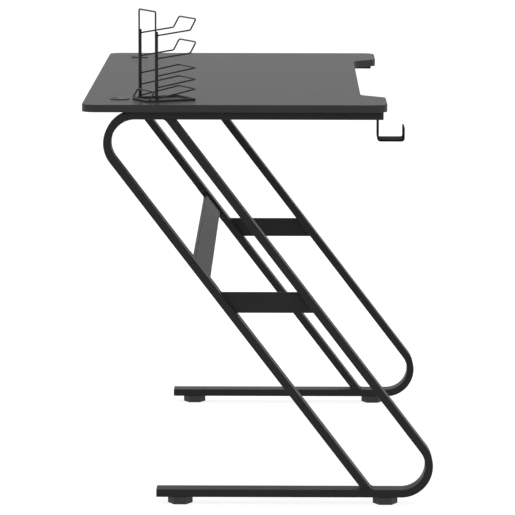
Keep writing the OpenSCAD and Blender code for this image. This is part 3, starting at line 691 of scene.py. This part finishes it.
def makeBolts(spec):
    # button heads on the legs' outer faces, domed by a circle through rim and crown,
    # with a six-sided socket; a threaded end that shows past each weld nut
    rise, socket = spec["headRise"], spec["socket"]
    dome = (spec["head"] ** 2 + rise ** 2) / (2 * rise)
    rim = np.linspace(math.asin(spec["head"] / dome), math.asin(spec["socketEdge"] / dome), 8)
    crown = [(dome * math.sin(a), dome - rise - dome * math.cos(a)) for a in rim]
    low = crown[-1][1]
    tip, depth = spec["socketTip"]
    profile = [(spec["head"] - spec["headEase"], 0)]
    profile += [(radius, min(z, -spec["rim"])) for radius, z in crown]
    profile += [(socket, low + 0.1, 1), (socket, low + spec["socketDeep"], 1), (tip, low + depth)]
    head = turned(profile, corners=6)
    length = tube["width"] + spec["plate"] + spec["nutThick"] + spec["bolt"] / 2
    shank = rod(spec["shank"], -0.2, tube["width"])
    thread = threaded(spec["bolt"], tube["width"] + 0.1, length, spec["pitch"],
                      spec["threadDepth"])
    corner, (ease, bevel) = spec["nut"] / math.sqrt(3), spec["nutEase"]
    face = corner * spec["nutFace"]
    nut = turned([(corner, ease, 1), (corner, spec["nutThick"] - bevel, 1),
                  (face, spec["nutThick"]), (spec["bolt"], spec["nutThick"]),
                  (spec["bolt"], 0), (face, 0)], "loop", corners=6)
    bolts, nuts = [], []
    axes = (upBar, intoBar, (1, 0, 0))
    for side in sides.values():
        for place in boltPlaces:
            bolts += [mirrored(laid(shell, place - np.array([legOut, 0, 0]), *axes), side)
                      for shell in (head, shank, thread)]
            inside = place + np.array([spec["plate"] - legIn, 0, 0])
            nuts.append(mirrored(laid(nut, inside, *axes), side))
    addPiece("barBolts", together(bolts), "black_steel", ["bar_bolts"], crease=30)
    addPiece("barNuts", together(nuts), "black_steel", ["bar_nuts"], crease=30)


makeCrossBar(bar)
for name, side in sides.items():
    makeBarPlate(side, name, bar)
makeBolts(bar)
print("cross bar made")


cap = {"plug": 12, "gap": 0.1, "plugCorner": 0.9, "taper": 0.7, "taperLength": 1.5,
       "domeInsets": (0, 0, 0.25, 0.7, 1.3), "domeRises": (0, 0.9, 1.5, 1.86, 2)}


def makeEndCap(side, name, node, origin, outward, spec):
    # a moulded cap: a flange whose face is softly domed, each ring of it drawn in by
    # its own inset, and a plug behind it that tapers at its tip
    def outline(less, corner, inset):
        # the tube's section, so much smaller on every side
        corners = boxCorners(tube["width"] - 2 * less, tube["thick"] - 2 * less)
        return roundedOutline(corners, [corner] * 4, 5, inset)
    wall = tube["wall"] + spec["gap"]
    flange = stacked([outline(0, tube["corner"], inset) for inset in spec["domeInsets"]],
                     spec["domeRises"])
    plug = stacked([outline(wall, spec["plugCorner"], inset) for inset in (spec["taper"], 0, 0)],
                   (-spec["plug"], spec["taperLength"] - spec["plug"], 0))
    shell = laid(together([skin(flange), skin(plug)]), origin,
                 (1, 0, 0), (0, 0, 1), (0, outward, 0))
    addPiece(name, mirrored(shell, side), "black_plastic", [node], crease=50)


for name, side in sides.items():
    makeEndCap(side, name + "RailCap", name + "_rail_cap",
               (-legMid, railEnd, railTop - tube["thick"] / 2), -1, cap)
    makeEndCap(side, name + "BaseCap", name + "_base_cap",
               (-legMid, baseEnd, foot["height"] + tube["thick"] / 2), 1, cap)


def makeFoot(side, end, name, y, spec):
    # the six-sided pad: floor face, eased edge, upright sides and eased rim, each a
    # rounded hexagon of its own size; and the threaded stud above it
    edge, top = spec["edge"], spec["height"] - spec["gap"]
    sizes = spec["across"] / 2 - edge * np.array([1, 0.25, 0, 0, 0.25, 1])
    heights = [0, 0.3 * edge, edge, top - edge, top - 0.3 * edge, top]
    angle = math.pi / 2 + np.arange(6) * math.pi / 3
    corners = np.stack([np.cos(angle), np.sin(angle)], -1)
    pad = stacked([roundedOutline(corners * size, [spec["corner"]] * 6, 6) for size in sizes],
                  heights)
    stud = threaded(spec["stud"], spec["height"] / 3,
                    spec["height"] + tube["thick"] - 2 * tube["wall"],
                    spec["pitch"], spec["threadDepth"])
    piece, node = end + name.capitalize(), f"{end}_{name}"
    addPiece(piece + "FootPad", moved(skin(pad), side * legMid, y, 0), "foot_plastic",
             [node + "_foot"], body=node + "_leveller", crease=24)
    addPiece(piece + "FootStud", moved(stud, side * legMid, y, 0), "zinc_steel",
             [node + "_stud"], body=node + "_leveller", crease=30)


for end, y in footYs.items():
    for name, side in sides.items():
        makeFoot(side, end, name, y, foot)
print("caps and feet made")


def makeHook(spec):
    # the bent strip: its side outline, a run of straights and bends, carried across
    # its width with both long edges eased, and two screw holes in the flange
    thick, end = spec["thick"], spec["thick"] / 4
    front, floor = strapRear - thick, railTop - spec["drop"]
    lipIn = front - spec["space"]
    lipOut, outer = lipIn - thick, spec["bend"] + thick
    corners = [(strapRear + spec["flange"], railTop), (front, railTop),
               (front, floor + thick), (lipIn, floor + thick),
               (lipIn, floor + spec["lip"]), (lipOut, floor + spec["lip"]), (lipOut, floor),
               (strapRear, floor), (strapRear, railTop - thick),
               (strapRear + spec["flange"], railTop - thick)]
    radii = [end, outer, spec["bend"], spec["bend"], end, end, outer, outer, spec["bend"], end]
    shell = slab(lambda inset: roundedOutline(corners, radii, 8, inset), 0, spec["width"],
                 spec["edge"])
    shell = laid(shell, (-legIn + spec["side"], 0, 0), (0, 1, 0), (0, 0, 1), (1, 0, 0))
    hole = rod(spec["screw"] + spec["screwGap"], -thick - past, past, 32)
    addPiece("headphoneHook", shell, "hook_steel", ["headphone_hook"],
             cut=together([moved(hole, x, y, railTop) for x, y in hookScrews]))
    radius, rise, socket = spec["head"], spec["headRise"], spec["socket"]
    under, rim = spec["headEase"]
    head = [(radius - under, 0), (radius, -rim)]
    head += [(radius * share, -rise * fall) for share, fall in spec["dome"]]
    head += [(socket, 0.1 - rise, 1), (socket, -rise / 2, 1), (0.3, -rise / 3)]
    screw = together([moved(turned(head, corners=6), 0, 0, -thick),
                      threaded(spec["screw"], -thick, spec["screwDeep"], spec["pitch"],
                               spec["threadDepth"])])
    addPiece("hookScrews", together([moved(screw, x, y, railTop) for x, y in hookScrews]),
             "zinc_steel", ["hook_screws"], crease=30)


def makeGrommet(side, name, spec):
    # the flange and sleeve, one turned profile with a rolled lip; the cap, a disc with
    # an open notch whose rim is eased, and its short skirt
    bore, seat = spec["sleeve"] - spec["wall"], spec["cap"] + spec["capGap"]
    top, ledge = spec["rise"], spec["rise"] - spec["capThick"]
    low, ease = -desk["board"], spec["ease"]

    def placed(shell):
        return mirrored(moved(shell, -grommetX, grommetY, desk["height"]), side)
    lip = [(spec["flange"] - spec["lipWide"] * (1 - math.cos(a)),
            top - spec["lipHigh"] * (1 - math.sin(a))) for a in np.linspace(0, math.pi / 2, 9)]
    profile = [(bore, low + ease), (bore + ease, low), (spec["sleeve"] - ease, low),
               (spec["sleeve"], low + ease), (spec["sleeve"], 0), (spec["flange"], 0)] + lip
    profile += [(seat + ease, top), (seat, top - ease), (seat, ledge), (bore, ledge)]
    addPiece(name + "Grommet", placed(turned(profile, "loop", 96)), "black_plastic",
             [name + "_grommet"])
    notchY, half = spec["cap"] - spec["notchIn"], spec["notch"] / 2
    corner = math.asin(half / spec["cap"])
    rimTurn = np.linspace(math.pi / 2 + corner, 2.5 * math.pi - corner, 84)
    notchTurn = np.linspace(0, -math.pi, 20)
    rim = spec["cap"] * np.stack([np.cos(rimTurn), np.sin(rimTurn)], -1)
    notch = half * np.stack([np.cos(notchTurn), np.sin(notchTurn)], -1) + [0, notchY]

    def outline(inset):
        # the rim moves towards the middle and the notch away from its own
        inner = notch + (notch - [0, notchY]) / half * inset
        return np.concatenate([rim * (1 - inset / spec["cap"]), inner])
    disc = slab(outline, ledge + spec["capGap"], top, spec["capEdge"])
    addPiece(name + "GrommetCap", placed(disc), "black_plastic", [name + "_grommet_cap"],
             body=name + "_outlet")
    skirtOut, drop, skirtTop = bore - spec["capGap"], low / 3, ledge + spec["skirtTop"]
    skirtIn = skirtOut - spec["skirt"]
    skirt = turned([(skirtOut, drop), (skirtOut, skirtTop), (skirtIn, skirtTop),
                    (skirtIn, drop)], "loop", 72)
    mouth = np.concatenate([notch, [[-half, 2 * spec["cap"]], [half, 2 * spec["cap"]]]])
    slot = skin(stacked([mouth, mouth], (drop - past, top + past)))
    addPiece(name + "GrommetSkirt", placed(skirt), "black_plastic", body=name + "_outlet",
             cut=placed(slot))


makeHook(hook)
for name, side in sides.items():
    makeGrommet(side, name, grommet)
print("hook and grommets made")

# the wire rack, turned on the board by so many degrees, and its spot welds
rack = {"width": 75.5, "depth": 96, "height": 168.5, "turn": 26, "fromSide": 98.5,
        "fromBack": 148.7, "base": 4, "frame": 3.25, "loop": 3, "frameSet": 14.5, "post": 130,
        "hook": 123, "hookStep": 42.6, "hookSlope": 6.8, "hookRun": 70, "hookRise": 60,
        "hookEnd": 23.4, "shelfRun": 81.5, "shelfStarts": (48.3, 26.9, 6.5),
        "shelfTips": (60.7, 39.4, 21.2), "brace": 20.2, "seat": 0.15, "spot": 0.03,
        "baseBend": 6, "frameBend": 3.25, "loopBend": 4.8}
rackWeld = {"collar": 0.35, "collarReach": 0.7, "seam": 0.85, "seamRipple": 0.35,
            "seamPitch": 2.2, "seamFromEnd": 12, "endSeam": 10, "middleSeam": 8,
            "blob": 1.35, "blobReach": 1.6, "blobArch": 0.1}


def makeRack(spec, joint):
    # every wire is a path in the rack's own frame: x across, y to the back, z up
    x, rear = spec["width"] / 2, spec["depth"] / 2
    frameY = rear - spec["frameSet"]
    postY = frameY - spec["frame"] - spec["spot"]
    loopY = postY - spec["frame"] / 2 - spec["spot"]
    baseTop = spec["base"] + spec["spot"]
    turn = math.radians(spec["turn"])
    axes = ((math.cos(turn), math.sin(turn), 0), (-math.sin(turn), math.cos(turn), 0), (0, 0, 1))
    origin = (spec["fromSide"] - sideX, backY - spec["fromBack"], desk["height"] + spec["seat"])

    def add(name, node, shell, crease=60):
        addPiece(name, laid(shell, origin, *axes), "rack_wire", [node] if node else (),
                 body="rack", crease=crease)

    def looped(start, end):
        # runs from the left start to the left end, across, and back on the right
        return [(-x, *start), (-x, *end), (x, *end), (x, *start)]

    def addLoop(name, node, path):
        add(name, node, wire(bentPath(path, spec["loopBend"]), spec["loop"] / 2))

    base = [(-x, -rear, spec["base"] / 2), (x, -rear, spec["base"] / 2),
            (x, rear, spec["base"] / 2), (-x, rear, spec["base"] / 2)]
    add("rackBase", "rack_base", wire(bentPath(base, spec["baseBend"], closed=True),
                                      spec["base"] / 2, closed=True, around=24))
    arch = looped((frameY, baseTop), (frameY, spec["height"] - spec["frame"] / 2))
    add("rackBackFrame", "rack_back_frame",
        wire(bentPath(arch, spec["frameBend"]), spec["frame"] / 2, around=20))
    for name, side in sides.items():
        post = [(side * x, postY, z) for z in (baseTop, spec["post"] / 2, spec["post"])]
        add(f"rack{name.capitalize()}Post", f"rack_{name}_post",
            wire(post, spec["frame"] / 2, around=20))
    touch = frameY + (spec["frame"] + spec["loop"]) / 2 + spec["spot"]
    braceY = rear - spec["baseBend"] / 2
    addLoop("rackBrace", "rack_brace", looped((braceY, baseTop + spec["loop"] / 4),
                                              (touch, spec["brace"] - spec["loop"] / 2)))
    slope, rise = math.radians(spec["hookSlope"]), math.radians(spec["hookRise"])
    hookStarts = [spec["hook"], spec["hook"] - spec["hookStep"]]
    for name, z in zip(("Upper", "Lower"), hookStarts):
        knee = (frameY - spec["hookRun"],
                z + (spec["hookRun"] - frameY + loopY) * math.tan(slope))
        tip = (knee[0] - spec["hookEnd"] * math.cos(rise),
               knee[1] + spec["hookEnd"] * math.sin(rise))
        addLoop(f"rack{name}Hook", f"rack_{name.lower()}_hook",
                [(-x, loopY, z), (-x, *knee), (-x, *tip), (x, *tip), (x, *knee), (x, loopY, z)])
    shelves = zip(("Top", "Middle", "Bottom"), spec["shelfStarts"], spec["shelfTips"])
    for name, start, tip in shelves:
        addLoop(f"rack{name}Shelf", f"rack_{name.lower()}_shelf",
                looped((loopY, start), (frameY - spec["shelfRun"], tip)))
    # the welds: a collar round each loop's end, seams between frame and posts, and a
    # blob where a wire stands on the base
    welds = []
    seams = [(spec["frame"] + joint["seamFromEnd"], joint["endSeam"]),
             (spec["post"] / 2, joint["middleSeam"]),
             (spec["post"] - joint["seamFromEnd"], joint["endSeam"])]
    for side in sides.values():
        for z in (*hookStarts, *spec["shelfStarts"]):
            line = [(side * x, loopY + joint["collarReach"] * s, z) for s in (-1, 0, 1)]
            welds.append(wire(line, spec["loop"] / 2 + joint["collar"]))
        for z, length in seams:
            line = [(side * x, (frameY + postY) / 2, z + length * s) for s in (-0.5, 0, 0.5)]
            welds.append(wire(line, joint["seam"], around=10, ripple=joint["seamRipple"],
                              pitch=joint["seamPitch"]))
        for y in (frameY, postY, braceY):
            line = [(side * x, y + joint["blobReach"] * s, baseTop + joint["blobArch"] * arch)
                    for s, arch in ((-1, -1), (0, 1), (1, -1))]
            welds.append(wire(line, joint["blob"], around=10))
    add("rackWelds", None, together(welds), 70)


makeRack(rack, rackWeld)
print("rack made")

# floor, world and lamps, in metres and watts
studio = {
    "floorHalf": 30.0, "floorTone": "#bdbdbd", "floorGlow": 0.86, "ambient": 0.44,
    "keyPower": 42.0, "keyPlace": (1.6, 0.8, 3.8), "keySize": 3.0,
    "fillPower": 4.0, "fillPlace": (-4.2, -0.3, 2.4), "fillSize": 2.5,
    "aim": (0.0, 0.0, 0.4),
}


def shownRays(tree):
    # 1 for the camera's own rays and for those that gloss and glass send on, else 0
    path = addNode(tree, "ShaderNodeLightPath")
    shown = path.outputs["Is Camera Ray"]
    for ray in ("Is Glossy Ray", "Is Transmission Ray"):
        shown = addNode(tree, "ShaderNodeMath", {"operation": "MAXIMUM"},
                        {0: shown, 1: path.outputs[ray]}).outputs["Value"]
    return shown


def addFloor(spec):
    # a large pale sheet; where it is seen it glows, so that it comes out white
    # wherever no shadow lies on it
    half = spec["floorHalf"]
    mesh = bpy.data.meshes.new("floor")
    mesh.from_pydata([(-half, -half, 0), (half, -half, 0), (half, half, 0), (-half, half, 0)],
                     [], [(0, 1, 2, 3)])
    floor = bpy.data.objects.new("floor", mesh)
    bpy.context.collection.objects.link(floor)
    material, tree = newMaterial("paleFloor")[:2]
    diffuse = addNode(tree, "ShaderNodeBsdfDiffuse", None,
                      {"Color": linearFrom(spec["floorTone"])})
    seen = addNode(tree, "ShaderNodeMath", {"operation": "MULTIPLY"},
                   {0: shownRays(tree), 1: spec["floorGlow"]})
    glow = addNode(tree, "ShaderNodeEmission", None, {"Strength": seen.outputs["Value"]})
    both = addNode(tree, "ShaderNodeAddShader", None,
                   {0: diffuse.outputs["BSDF"], 1: glow.outputs["Emission"]})
    finishMaterial(material, tree, both.outputs["Shader"])
    mesh.materials.append(material)


def addWorld(spec):
    # white to the camera and in what gloss and glass show, and a softer grey as light
    world = bpy.data.worlds.new("studio")
    bpy.context.scene.world = world
    world.use_nodes = True
    tree = world.node_tree
    tree.nodes.clear()
    strength = addNode(tree, "ShaderNodeMath", {"operation": "MAXIMUM"},
                       {0: shownRays(tree), 1: spec["ambient"]})
    back = addNode(tree, "ShaderNodeBackground", None,
                   {"Color": linearFrom("#ffffff"), "Strength": strength.outputs["Value"]})
    addNode(tree, "ShaderNodeOutputWorld", None, {"Surface": back.outputs["Background"]})


def addLamp(name, spec):
    # a square lamp that faces the desk's middle
    lamp = bpy.data.lights.new(name, "AREA")
    lamp.energy, lamp.size = spec[name + "Power"], spec[name + "Size"]
    holder = bpy.data.objects.new(name, lamp)
    bpy.context.collection.objects.link(holder)
    holder.location = spec[name + "Place"]
    ahead = Vector(spec["aim"]) - holder.location
    holder.rotation_euler = ahead.to_track_quat("-Z", "Y").to_euler()


addFloor(studio)
addWorld(studio)
addLamp("key", studio)
addLamp("fill", studio)

# the camera's place in metres, and how it is turned in radians
shot = {"place": (-7.0531, -0.0518, 1.4121), "turn": 0.00825, "dip": 0.14419, "roll": 0.00111,
        "focalPixels": 3564.25, "pictureWidth": 515}


def addCamera(spec):
    # looks along +X, turned a little to the left and tipped down
    turn, dip, roll = spec["turn"], spec["dip"], spec["roll"]
    ahead = Vector((math.cos(dip) * math.cos(turn), math.cos(dip) * math.sin(turn),
                    -math.sin(dip)))
    level = ahead.cross(Vector((0, 0, 1))).normalized()
    upright = level.cross(ahead)
    right = level * math.cos(roll) + upright * math.sin(roll)
    up = upright * math.cos(roll) - level * math.sin(roll)
    camera = bpy.data.cameras.new("camera")
    camera.sensor_width = 36.0
    camera.lens = camera.sensor_width * spec["focalPixels"] / spec["pictureWidth"]
    camera.clip_end = 200.0
    holder = bpy.data.objects.new("camera", camera)
    bpy.context.collection.objects.link(holder)
    facing = Matrix((right, up, -ahead)).transposed()
    holder.matrix_world = Matrix.Translation(spec["place"]) @ facing.to_4x4()
    bpy.context.scene.camera = holder


addCamera(shot)
bpy.context.scene.view_settings.view_transform = "Standard"
print("studio set")
